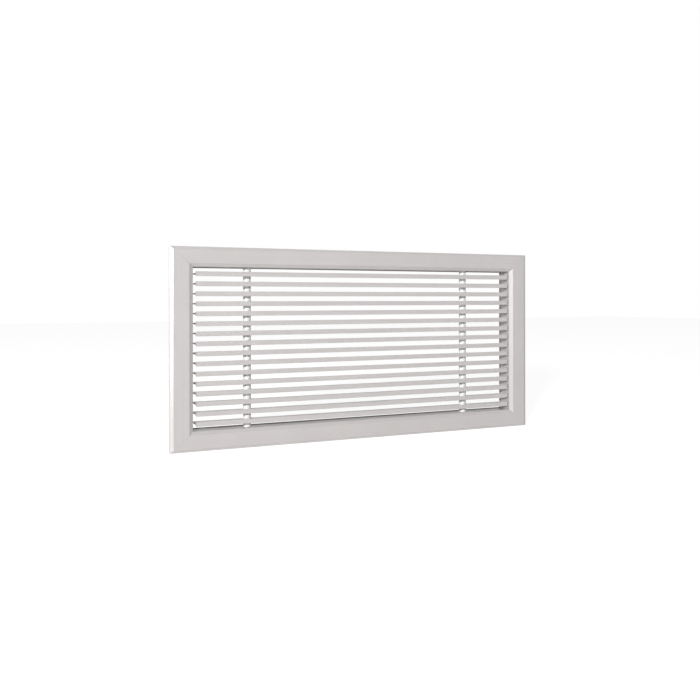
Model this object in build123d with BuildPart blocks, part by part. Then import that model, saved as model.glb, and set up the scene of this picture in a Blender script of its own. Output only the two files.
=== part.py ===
from build123d import *
import os

os.makedirs("parts", exist_ok=True)

# A linear bar grille. X runs along the bars, Z is up, and Y runs back into the wall.
# The origin is the middle of the opening, in the plane of the wall.
# Depths are counted back from the front face unless a name says otherwise.

# Size over the flange
overall_width = 535.0
overall_height = 255.0

# Section of the top and bottom frame members. The side members have the same section with
# all its widths enlarged in one proportion, so that the four meet edge to edge at the mitres.
flange_width = 25.0  # from the outer edge to the inside of the neck
side_flange_width = 29.0
flange_depth = 7.0  # from the front face to the wall
neck_depth = 26.5
skin_thickness = 1.8
lip_thickness = 1.6
neck_thickness = 1.5
neck_return = 1.0  # reach of the stiffening edge that turns in at the rear of the neck
chamfer_width = 3.5
chamfer_depth = 2.0
bevel_width = 4.5
bevel_depth = 3.0
arris_radius = 0.4
mitre_gap = 0.1

# Corner keys, and the channel behind the face that holds them
key_width = 15.0
key_thickness = 2.0
key_leg = 45.0
key_gap = 0.2
key_corner_cut = 2.0
hook_thickness = 1.2
hook_reach = 2.4
rib_thickness = 1.2

# Bars
bar_pitch = 12.5
bar_face = 6.0
bar_depth = 24.0
bar_web = 1.6
bar_land = 0.8  # depth of the square edge behind the face
bar_taper_depth = 8.0  # depth at which the taper runs out into the web
bar_recess = 2.0
bar_end_gap = 4.0
bar_arris_cut = 0.3

# Support tubes, expanded in the punched webs of the bars, and the screws in their ends
tube_inset = 70.0  # from the end of a bar
tube_setback = 13.5  # from the face of a bar
tube_diameter = 10.0
tube_gap = 0.04
screw_diameter = 4.0
screw_length = 12.0
screw_gap = 0.05
screw_hole_gap = 0.15
screw_head_diameter = 8.0
screw_head_height = 2.6
screw_rim_height = 1.4
screw_crown_diameter = 5.4
screw_slot_width = 1.1
screw_slot_length = 4.4
screw_slot_depth = 1.4

# Spring clips on the short sides of the neck, and their rivets
clip_width = 24.0
clip_thickness = 0.8
clip_rear_gap = 0.5
clip_base = 8.5
clip_rise = 9.0
clip_peak_behind_wall = 5.0
clip_tip_behind_wall = 1.5
clip_tip_rise = 1.6
clip_bend_radius = 1.5
rivet_diameter = 3.2
rivet_gap = 0.1
rivet_head_diameter = 6.4
rivet_head_height = 1.1
rivet_tail_diameter = 4.8
rivet_tail_height = 1.3

# Places that follow from the sizes above
front = -flange_depth
neck_rear = front + neck_depth
side_widening = side_flange_width / flange_width
opening_width = overall_width - 2 * side_flange_width
opening_height = overall_height - 2 * flange_width
bar_front = front + bar_recess
bar_length = opening_width - 2 * bar_end_gap
bar_count = int((opening_height - bar_face) / bar_pitch) + 1
top_bar = (bar_count - 1) * bar_pitch / 2
bar_heights = [top_bar - number * bar_pitch for number in range(bar_count)]
tube_x = bar_length / 2 - tube_inset
tube_y = bar_front + tube_setback
screw_hole_radius = screw_diameter / 2 + screw_hole_gap
clip_level = bar_pitch / 2  # behind the bar above the middle, which hides the rivets' tails
clip_base_rear = neck_rear - clip_rear_gap
rivet_y = clip_base_rear - clip_base / 2
rivet_hole_radius = rivet_diameter / 2 + rivet_gap
key_front = front + skin_thickness
key_inset = lip_thickness + key_gap
hook_front = key_front + key_thickness + key_gap
hook_rear = hook_front + hook_thickness
channel_width = key_width + 2 * key_gap


def frame_outline(reach, width):
    """Points of the frame's section, outward from the opening and back in depth."""
    rib = lip_thickness + channel_width
    rib_end = rib + rib_thickness
    neck_outer = flange_width - neck_thickness
    inward_and_back = [
        (0, front + chamfer_depth),
        (chamfer_width, front),
        (flange_width - bevel_width, front),
        (flange_width, front + bevel_depth),
        (flange_width, neck_rear - neck_thickness),
        (flange_width + neck_return, neck_rear - neck_thickness),
        (flange_width + neck_return, neck_rear),
        (neck_outer, neck_rear),
        (neck_outer, key_front + bevel_depth),
        (neck_outer - bevel_width, key_front),
        (rib_end, key_front),
        (rib_end, hook_rear),
        (rib - hook_reach, hook_rear),
        (rib - hook_reach, hook_front),
        (rib, hook_front),
        (rib, key_front),
        (lip_thickness, key_front),
        (lip_thickness, hook_front),
        (lip_thickness + hook_reach, hook_front),
        (lip_thickness + hook_reach, hook_rear),
        (lip_thickness, hook_rear),
        (lip_thickness, 0),
        (0, 0),
    ]
    widening = width / flange_width
    return [(reach - inward * widening, back) for inward, back in inward_and_back]


def make_frame_member(name, turn, reach, half_length, width, end_width, hole_radius, hole_places):
    """One length of the frame, its section turned about the depth axis to its side.

    The mitres run from the outer corners to the inner ones, whatever the two widths are.
    """
    section_plane = Plane.XY.rotated((0, -turn, 0))
    outward = section_plane.x_dir
    inner = reach - width
    mitre_foot = inner - 2 * neck_return
    half_outside = half_length - mitre_gap / 2
    half_inside = half_outside - (reach - mitre_foot) * end_width / width
    with BuildPart() as member:
        with BuildSketch(section_plane):
            with BuildLine():
                Polyline(*frame_outline(reach, width), close=True)
            make_face()
            face_corners = vertices().group_by(Axis.Y)[0]
            outer_corner = vertices().group_by(Axis.X)[-1].sort_by(Axis.Y)[0]
            neck_corner = vertices().sort_by_distance((inner, front + bevel_depth, 0))[0]
            fillet([*face_corners, outer_corner, neck_corner], arris_radius)
        extrude(amount=half_length, both=True)
        with BuildSketch(Plane(origin=(0, 0, 0), x_dir=outward, z_dir=(0, -1, 0))):
            with BuildLine():
                Polyline(
                    (reach, -half_outside),
                    (reach, half_outside),
                    (mitre_foot, half_inside),
                    (mitre_foot, -half_inside),
                    close=True,
                )
            make_face()
        extrude(amount=neck_depth, both=True, mode=Mode.INTERSECT)
        with BuildSketch(Plane(origin=outward * inner, x_dir=(0, 1, 0), z_dir=outward)):
            with Locations(*hole_places):
                Circle(hole_radius)
        extrude(amount=neck_thickness * width / flange_width, both=True, mode=Mode.SUBTRACT)
    member.part.label = name
    export_step(member.part, f"parts/{name}.step")


half_width = overall_width / 2
half_height = overall_height / 2
side_sizes = (half_width, half_height, side_flange_width, flange_width, rivet_hole_radius)
level_sizes = (half_height, half_width, flange_width, side_flange_width, screw_hole_radius)
screw_holes = [(tube_y, -tube_x), (tube_y, tube_x)]
make_frame_member("frame_right", 0, *side_sizes, [(rivet_y, clip_level)])
make_frame_member("frame_top", 90, *level_sizes, screw_holes)
make_frame_member("frame_left", 180, *side_sizes, [(rivet_y, -clip_level)])
make_frame_member("frame_bottom", 270, *level_sizes, screw_holes)


def make_corner_key(name, side, level):
    """A flat L pressed into the channels of two members. Side and level are each 1 or -1."""
    corner = (half_width - key_inset * side_widening, half_height - key_inset)
    inside = (corner[0] - key_width * side_widening, corner[1] - key_width)
    key_plane = Plane(origin=(0, key_front, 0), x_dir=(side, 0, 0), z_dir=(0, -side * level, 0))
    with BuildPart() as key:
        with BuildSketch(key_plane):
            with BuildLine():
                Polyline(
                    corner,
                    (corner[0] - key_leg, corner[1]),
                    (corner[0] - key_leg, inside[1]),
                    inside,
                    (inside[0], corner[1] - key_leg),
                    (corner[0], corner[1] - key_leg),
                    close=True,
                )
            make_face()
            chamfer(vertices().sort_by_distance((*inside, 0))[1:], key_corner_cut)
        extrude(amount=-side * level * key_thickness)
    key.part.label = name
    export_step(key.part, f"parts/{name}.step")


for side_name, side in (("left", -1), ("right", 1)):
    for level_name, level in (("lower", -1), ("upper", 1)):
        make_corner_key(f"corner_key_{level_name}_{side_name}", side, level)


def make_bar(name, height):
    """A bar with a square-edged face that tapers hollow into a thin web."""
    web = bar_web / 2
    rear = bar_front + bar_depth
    taper_end = (bar_front + bar_taper_depth, height + web)
    shoulder = (bar_front + bar_land, height + bar_face / 2)
    with BuildPart() as bar:
        with BuildSketch(Plane.YZ):
            with BuildLine():
                Line((rear, height), (rear, height + web))
                Line((rear, height + web), taper_end)
                TangentArc(taper_end, shoulder, tangent=(-1, 0))
                Polyline(shoulder, (bar_front, height + bar_face / 2), (bar_front, height))
                mirror(about=Plane.XZ.offset(-height))
            make_face()
            chamfer(vertices().group_by(Axis.X)[0], bar_arris_cut)
        extrude(amount=bar_length / 2, both=True)
        with BuildSketch(Plane.XY.offset(height)):
            with Locations((-tube_x, tube_y), (tube_x, tube_y)):
                Circle(tube_diameter / 2 + tube_gap)
        extrude(amount=bar_face, both=True, mode=Mode.SUBTRACT)
    bar.part.label = name
    export_step(bar.part, f"parts/{name}.step")


for number, height in enumerate(bar_heights, start=1):
    make_bar(f"bar_{number:02d}", height)

# Each support tube runs through all the bars and ends against the inside of the neck
for side_name, side in (("left", -1), ("right", 1)):
    with BuildPart() as tube:
        with BuildSketch(Plane.XY):
            with Locations((side * tube_x, tube_y)):
                Circle(tube_diameter / 2)
                Circle(screw_diameter / 2 + screw_gap, mode=Mode.SUBTRACT)
        extrude(amount=opening_height / 2, both=True)
    tube.part.label = f"support_tube_{side_name}"
    export_step(tube.part, f"parts/support_tube_{side_name}.step")

# One cross-recessed screw, its head standing on the XY plane and its shank below
with BuildPart() as screw:
    with BuildSketch(Plane.XZ):
        with BuildLine():
            Polyline(
                (0, screw_head_height),
                (0, -screw_length),
                (screw_diameter / 2, -screw_length),
                (screw_diameter / 2, 0),
                (screw_head_diameter / 2, 0),
                (screw_head_diameter / 2, screw_rim_height),
                (screw_crown_diameter / 2, screw_head_height),
                close=True,
            )
        make_face()
    revolve(axis=Axis.Z)
    with BuildSketch(Plane.XY.offset(screw_head_height)):
        Rectangle(screw_slot_length, screw_slot_width)
        Rectangle(screw_slot_width, screw_slot_length)
    extrude(amount=-screw_slot_depth, mode=Mode.SUBTRACT)

# The four screws hold the tubes from outside the neck
screw_height = opening_height / 2 + neck_thickness
with BuildPart() as tube_screws:
    for side in (-1, 1):
        with Locations(
            Location((side * tube_x, tube_y, screw_height)),
            Location((side * tube_x, tube_y, -screw_height), (180, 0, 0)),
        ):
            add(screw.part)
tube_screws.part.label = "tube_screws"
export_step(tube_screws.part, "parts/tube_screws.step")

# Spring clips bow out from the neck so that the edge of the wall opening squeezes them
side_neck_thickness = neck_thickness * side_widening
neck_outside = opening_width / 2 + side_neck_thickness


def make_clip(name, side):
    """A strip riveted near the rear of the neck, sloping out towards the flange and back in."""
    foot = side * neck_outside
    clip_plane = Plane(origin=(foot, 0, clip_level), x_dir=(side, 0, 0), z_dir=(0, 0, side))
    hole_plane = Plane(origin=(foot, rivet_y, clip_level), x_dir=(0, 1, 0), z_dir=(side, 0, 0))
    with BuildPart() as clip:
        with BuildSketch(clip_plane):
            with BuildLine():
                FilletPolyline(
                    (0, clip_base_rear),
                    (0, clip_base_rear - clip_base),
                    (clip_rise, clip_peak_behind_wall),
                    (clip_tip_rise, clip_tip_behind_wall),
                    radius=clip_bend_radius,
                )
                offset(amount=clip_thickness, side=Side.LEFT)
            make_face()
        extrude(amount=clip_width / 2, both=True)
        with BuildSketch(hole_plane):
            Circle(rivet_hole_radius)
        extrude(amount=clip_thickness, mode=Mode.SUBTRACT)
    clip.part.label = name
    export_step(clip.part, f"parts/{name}.step")


make_clip("spring_clip_left", -1)
make_clip("spring_clip_right", 1)

# One blind rivet through clip and neck, its head standing on the XY plane
grip = clip_thickness + side_neck_thickness
with BuildPart() as rivet:
    with BuildSketch(Plane.XZ):
        with BuildLine():
            crown = (0, rivet_head_height)
            rim = (rivet_head_diameter / 2, 0)
            Polyline(
                crown,
                (0, -grip - rivet_tail_height),
                (rivet_tail_diameter / 2, -grip - rivet_tail_height),
                (rivet_tail_diameter / 2, -grip),
                (rivet_diameter / 2, -grip),
                (rivet_diameter / 2, 0),
                rim,
            )
            TangentArc(crown, rim, tangent=(1, 0))
        make_face()
    revolve(axis=Axis.Z)

rivet_reach = neck_outside + clip_thickness
with BuildPart() as clip_rivets:
    with Locations(
        Location((rivet_reach, rivet_y, clip_level), (0, 90, 0)),
        Location((-rivet_reach, rivet_y, clip_level), (0, -90, 0)),
    ):
        add(rivet.part)
clip_rivets.part.label = "clip_rivets"
export_step(clip_rivets.part, "parts/clip_rivets.step")
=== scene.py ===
import math

import bpy
from mathutils import Matrix, Vector


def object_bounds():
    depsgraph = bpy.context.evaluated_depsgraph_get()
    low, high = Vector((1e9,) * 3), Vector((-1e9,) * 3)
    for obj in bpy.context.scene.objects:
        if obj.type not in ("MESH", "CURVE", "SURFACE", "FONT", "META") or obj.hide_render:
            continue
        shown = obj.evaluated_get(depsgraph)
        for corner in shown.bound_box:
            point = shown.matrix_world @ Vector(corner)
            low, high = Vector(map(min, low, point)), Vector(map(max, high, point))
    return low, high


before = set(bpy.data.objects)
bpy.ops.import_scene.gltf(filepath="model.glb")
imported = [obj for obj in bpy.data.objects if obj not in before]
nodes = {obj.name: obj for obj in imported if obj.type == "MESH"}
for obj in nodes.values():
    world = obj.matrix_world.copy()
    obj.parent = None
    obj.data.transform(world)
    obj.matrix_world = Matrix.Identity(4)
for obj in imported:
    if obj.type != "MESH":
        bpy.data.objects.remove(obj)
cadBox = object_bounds()
print("frame loaded:", len(nodes), "pieces")


class Wire:
    # one socket of a node tree, so that shader maths reads as plain arithmetic
    def __init__(self, maker, socket):
        self.maker = maker
        self.socket = socket

    def __add__(self, other):
        return self.maker.maths("ADD", self, other)

    def __radd__(self, other):
        return self.maker.maths("ADD", other, self)

    def __sub__(self, other):
        return self.maker.maths("SUBTRACT", self, other)

    def __rsub__(self, other):
        return self.maker.maths("SUBTRACT", other, self)

    def __mul__(self, other):
        return self.maker.maths("MULTIPLY", self, other)

    def __rmul__(self, other):
        return self.maker.maths("MULTIPLY", other, self)

    def out(self, name):
        # another output of the same node
        return Wire(self.maker, self.socket.node.outputs[name])


class NodeMaker:
    # adds nodes to one tree: settings are set first, then the sockets get values or wires
    def __init__(self, tree):
        self.tree = tree
        tree.nodes.clear()

    def add(self, kind, settings=None, values=None, output=0):
        node = self.tree.nodes.new("ShaderNode" + kind)
        for name, value in (settings or {}).items():
            setattr(node, name, value)
        for name, value in (values or {}).items():
            if isinstance(value, Wire):
                self.tree.links.new(value.socket, node.inputs[name])
            else:
                node.inputs[name].default_value = value
        return Wire(self, node.outputs[output]) if node.outputs else None

    def maths(self, operation, first, second=0.0):
        return self.add("Math", {"operation": operation}, {0: first, 1: second})

    def clamp(self, value, low, high):
        return self.maths("MINIMUM", self.maths("MAXIMUM", value, low), high)

    def mixColours(self, factor, first, second):
        return self.add("Mix", {"data_type": "RGBA"}, {0: factor, 6: first, 7: second}, output=2)

    def noise(self, vector, scale, detail=2.0, roughness=0.5):
        sockets = {"Vector": vector, "Scale": scale, "Detail": detail, "Roughness": roughness}
        return self.add("TexNoise", None, sockets)

    def stretch(self, vector, scale):
        return self.add("Mapping", None, {"Vector": vector, "Scale": scale})


def newMaterial(name):
    material = bpy.data.materials.new(name)
    material.use_nodes = True
    return material, NodeMaker(material.node_tree)


def grey(value, tint=(1.0, 1.0, 1.0)):
    return (value * tint[0], value * tint[1], value * tint[2], 1.0)


# Natural anodised aluminium: die lines run along the extrusion, over a soft mottling from the etch bath
anodised = {
    "dark": 0.50,
    "light": 0.58,
    "tint": (1.0, 0.956, 0.945),
    "metallic": 0.20,
    "roughness": 0.33,
    "lineSpacing": 0.0011,
    "bandSpacing": 0.0065,
    "lineStretch": 220.0,
    "mottleSize": 0.07,
    "grainSize": 0.00025,
    "lineContrast": 0.5,
    "bandContrast": 0.6,
    "mottleContrast": 0.8,
    "roughnessSpread": 0.12,
    "lineHeight": 0.000006,
    "grainHeight": 0.000003,
}


def makeAnodised(name, along, lift=0.0):
    material, maker = newMaterial(name)
    place = maker.add("TexCoord", output=3)

    def grained(spacing):
        across = 1.0 / spacing
        scale = [across, across, across]
        scale[along] = across / anodised["lineStretch"]
        return maker.stretch(place, scale)

    lines = maker.noise(grained(anodised["lineSpacing"]), 1.0, 3.0, 0.65)
    bands = maker.noise(grained(anodised["bandSpacing"]), 1.0, 2.0, 0.5)
    mottle = maker.noise(place, 1.0 / anodised["mottleSize"], 4.0, 0.6)
    grain = maker.noise(place, 1.0 / anodised["grainSize"], 1.0, 0.5)
    tone = 0.5 + lift
    tone = tone + (lines - 0.5) * anodised["lineContrast"]
    tone = tone + (bands - 0.5) * anodised["bandContrast"]
    tone = tone + (mottle - 0.5) * anodised["mottleContrast"]
    tone = maker.clamp(tone, 0.0, 1.0)
    colour = maker.mixColours(
        tone, grey(anodised["dark"], anodised["tint"]), grey(anodised["light"], anodised["tint"])
    )
    spread = (lines - 0.5) * 0.5 + (mottle - 0.5)
    roughness = anodised["roughness"] + spread * anodised["roughnessSpread"]
    height = lines * anodised["lineHeight"] + grain * anodised["grainHeight"]
    bump = maker.add("Bump", None, {"Strength": 1.0, "Distance": 1.0, "Height": height})
    surface = maker.add("BsdfPrincipled", None, {
        "Base Color": colour,
        "Metallic": anodised["metallic"],
        "Roughness": roughness,
        "Normal": bump,
    })
    maker.add("OutputMaterial", None, {"Surface": surface})
    return material


# Bright drawn tube, plated steel and mill-finish plate share one recipe with their own values
metals = {
    "tubeAluminium": {"dark": 0.80, "light": 0.90, "tint": (1.0, 0.99, 0.98), "roughness": 0.30,
                      "metallic": 0.1, "lineSpacing": 0.0006, "lineStretch": 90.0, "along": 2},
    "keyAluminium": {"dark": 0.42, "light": 0.55, "tint": (1.0, 1.0, 1.0), "roughness": 0.46,
                     "metallic": 0.7, "lineSpacing": 0.0009, "lineStretch": 30.0, "along": 0},
    "screwSteel": {"dark": 0.44, "light": 0.62, "tint": (1.0, 0.985, 0.94), "roughness": 0.30,
                   "metallic": 1.0, "lineSpacing": 0.0008, "lineStretch": 1.0, "along": 2},
    "clipSteel": {"dark": 0.28, "light": 0.42, "tint": (0.97, 0.99, 1.0), "roughness": 0.33,
                  "metallic": 1.0, "lineSpacing": 0.0007, "lineStretch": 40.0, "along": 2},
    "rivetAluminium": {"dark": 0.55, "light": 0.66, "tint": (1.0, 1.0, 1.0), "roughness": 0.34,
                       "metallic": 0.8, "lineSpacing": 0.0009, "lineStretch": 1.0, "along": 0},
}
metalWear = {"cloudSize": 0.012, "roughnessSpread": 0.16, "lineHeight": 0.000004}


def makeMetal(name):
    values = metals[name]
    material, maker = newMaterial(name)
    place = maker.add("TexCoord", output=3)
    across = 1.0 / values["lineSpacing"]
    scale = [across, across, across]
    scale[values["along"]] = across / values["lineStretch"]
    lines = maker.noise(maker.stretch(place, scale), 1.0, 2.0, 0.6)
    cloud = maker.noise(place, 1.0 / metalWear["cloudSize"], 4.0, 0.6)
    tone = maker.clamp(0.5 + (lines - 0.5) + (cloud - 0.5), 0.0, 1.0)
    colour = maker.mixColours(tone, grey(values["dark"], values["tint"]), grey(values["light"], values["tint"]))
    roughness = values["roughness"] + (cloud - 0.5) * metalWear["roughnessSpread"]
    bump = maker.add("Bump", None, {
        "Strength": 1.0,
        "Distance": 1.0,
        "Height": lines * metalWear["lineHeight"],
    })
    surface = maker.add("BsdfPrincipled", None, {
        "Base Color": colour,
        "Metallic": values["metallic"],
        "Roughness": roughness,
        "Normal": bump,
    })
    maker.add("OutputMaterial", None, {"Surface": surface})
    return material


lengthways = makeAnodised("anodisedAcross", 0)
upright = makeAnodised("anodisedUpright", 2)
barFinish = makeAnodised("anodisedBar", 0)
finishes = {
    "frame_top": lengthways,
    "frame_bottom": lengthways,
    "frame_left": upright,
    "frame_right": upright,
    "tube_screws": makeMetal("screwSteel"),
    "clip_rivets": makeMetal("rivetAluminium"),
}
tubeFinish = makeMetal("tubeAluminium")
keyFinish = makeMetal("keyAluminium")
clipFinish = makeMetal("clipSteel")
for name, piece in nodes.items():
    if name.startswith("bar_"):
        finish = barFinish
    elif name.startswith("support_tube"):
        finish = tubeFinish
    elif name.startswith("corner_key"):
        finish = keyFinish
    elif name.startswith("spring_clip"):
        finish = clipFinish
    else:
        finish = finishes[name]
    for slot in piece.material_slots:
        slot.material = finish
print("materials assigned")

# The floor that the lower edge stands on: the camera sees it near white with a faint shadow
floorPlan = {"halfSize": 6.0, "colour": 0.93, "shownStrength": 1.31, "shownShare": 0.65, "mirroredShare": 0.2}


def makeFloor():
    level = cadBox[0][2]
    half = floorPlan["halfSize"]
    mesh = bpy.data.meshes.new("floor")
    corners = [(-half, -half, level), (half, -half, level), (half, half, level), (-half, half, level)]
    mesh.from_pydata(corners, [], [(0, 1, 2, 3)])
    floor = bpy.data.objects.new("floor", mesh)
    bpy.context.scene.collection.objects.link(floor)
    material, maker = newMaterial("floorPaper")
    place = maker.add("TexCoord", output=3)
    paper = maker.noise(place, 3.0, 3.0)
    colour = maker.mixColours(paper, grey(floorPlan["colour"] - 0.01), grey(floorPlan["colour"] + 0.01))
    matt = maker.add("BsdfDiffuse", None, {"Color": colour})
    shown = maker.add("Emission", None, {"Color": grey(1.0), "Strength": floorPlan["shownStrength"]})
    ray = maker.add("LightPath")
    seen = ray.out("Is Camera Ray") + ray.out("Is Transmission Ray")
    factor = seen * floorPlan["shownShare"] + ray.out("Is Glossy Ray") * floorPlan["mirroredShare"]
    surface = maker.add("MixShader", None, {0: factor, 1: matt, 2: shown})
    maker.add("OutputMaterial", None, {"Surface": surface})
    mesh.materials.append(material)


makeFloor()

# The studio: a pale tent, rather brighter behind the grille than before it, and white to the camera
tent = {"level": 0.32, "levelToBack": 0.12, "mirrored": 0.80, "mirroredToBack": 0.12,
        "mirroredUpwards": -0.10, "shown": 1.0}


def makeWorld():
    world = bpy.data.worlds.new("tent")
    world.use_nodes = True
    bpy.context.scene.world = world
    maker = NodeMaker(world.node_tree)
    direction = maker.add("SeparateXYZ", None, {0: maker.add("TexCoord")})
    level = tent["level"] + direction.out("Y") * tent["levelToBack"]
    mirrored = tent["mirrored"] + direction.out("Y") * tent["mirroredToBack"]
    mirrored = mirrored + direction.out("Z") * tent["mirroredUpwards"]
    ray = maker.add("LightPath")
    strength = level + ray.out("Is Glossy Ray") * (mirrored - level)
    lit = maker.add("Background", None, {"Color": grey(1.0), "Strength": strength})
    shown = maker.add("Background", None, {"Color": grey(1.0), "Strength": tent["shown"]})
    surface = maker.add("MixShader", None, {0: ray.out("Is Camera Ray"), 1: lit, 2: shown})
    maker.add("OutputWorld", None, {"Surface": surface})


makeWorld()

# Bearings in degrees to the left of straight ahead of the face, heights in degrees above level
lamps = {
    "keyLamp": {"bearing": 40.0, "height": 14.5, "distance": 5.0, "size": (0.4, 0.4), "power": 250.0},
    "sideLamp": {"bearing": 93.0, "height": 4.0, "distance": 3.0, "size": (0.5, 0.5), "power": 30.0},
}


def makeLamp(name):
    values = lamps[name]
    bearing = math.radians(values["bearing"])
    height = math.radians(values["height"])
    level = values["distance"] * math.cos(height)
    place = Vector((-level * math.sin(bearing), -level * math.cos(bearing), values["distance"] * math.sin(height)))
    light = bpy.data.lights.new(name, "AREA")
    light.shape = "RECTANGLE"
    light.size = values["size"][0]
    light.size_y = values["size"][1]
    light.energy = values["power"]
    lamp = bpy.data.objects.new(name, light)
    lamp.location = place
    lamp.rotation_euler = place.to_track_quat("Z", "Y").to_euler()
    bpy.context.scene.collection.objects.link(lamp)


for name in lamps:
    makeLamp(name)
print("floor, tent and lamps made")

# The photograph's view: place in metres, angles in degrees, lengths in pixels of a 700 pixel frame
view = {
    "place": (-0.4955, -1.0076, 0.0613),
    "turn": 25.21,
    "tilt": -0.03,
    "roll": 0.06,
    "focalLength": 820.0,
    "axisAboveMiddle": 50.0,
    "frameWidth": 700.0,
    "sensorWidth": 36.0,
}


def makeCamera():
    data = bpy.data.cameras.new("camera")
    data.sensor_fit = "HORIZONTAL"
    data.sensor_width = view["sensorWidth"]
    data.lens = view["focalLength"] / view["frameWidth"] * view["sensorWidth"]
    data.shift_y = -view["axisAboveMiddle"] / view["frameWidth"]
    data.clip_start = 0.01
    turn = math.radians(view["turn"])
    tilt = math.radians(view["tilt"])
    ahead = Vector((math.sin(turn) * math.cos(tilt), math.cos(turn) * math.cos(tilt), math.sin(tilt)))
    level = Vector((math.cos(turn), -math.sin(turn), 0.0))
    rolled = Matrix.Rotation(math.radians(view["roll"]), 3, ahead)
    right = (rolled @ level).normalized()
    up = right.cross(ahead).normalized()
    basis = Matrix((right, up, -ahead)).transposed()
    camera = bpy.data.objects.new("camera", data)
    camera.matrix_world = Matrix.Translation(view["place"]) @ basis.to_4x4()
    bpy.context.scene.collection.objects.link(camera)
    bpy.context.scene.camera = camera


makeCamera()
bpy.context.scene.view_settings.view_transform = "Standard"
print("camera set")
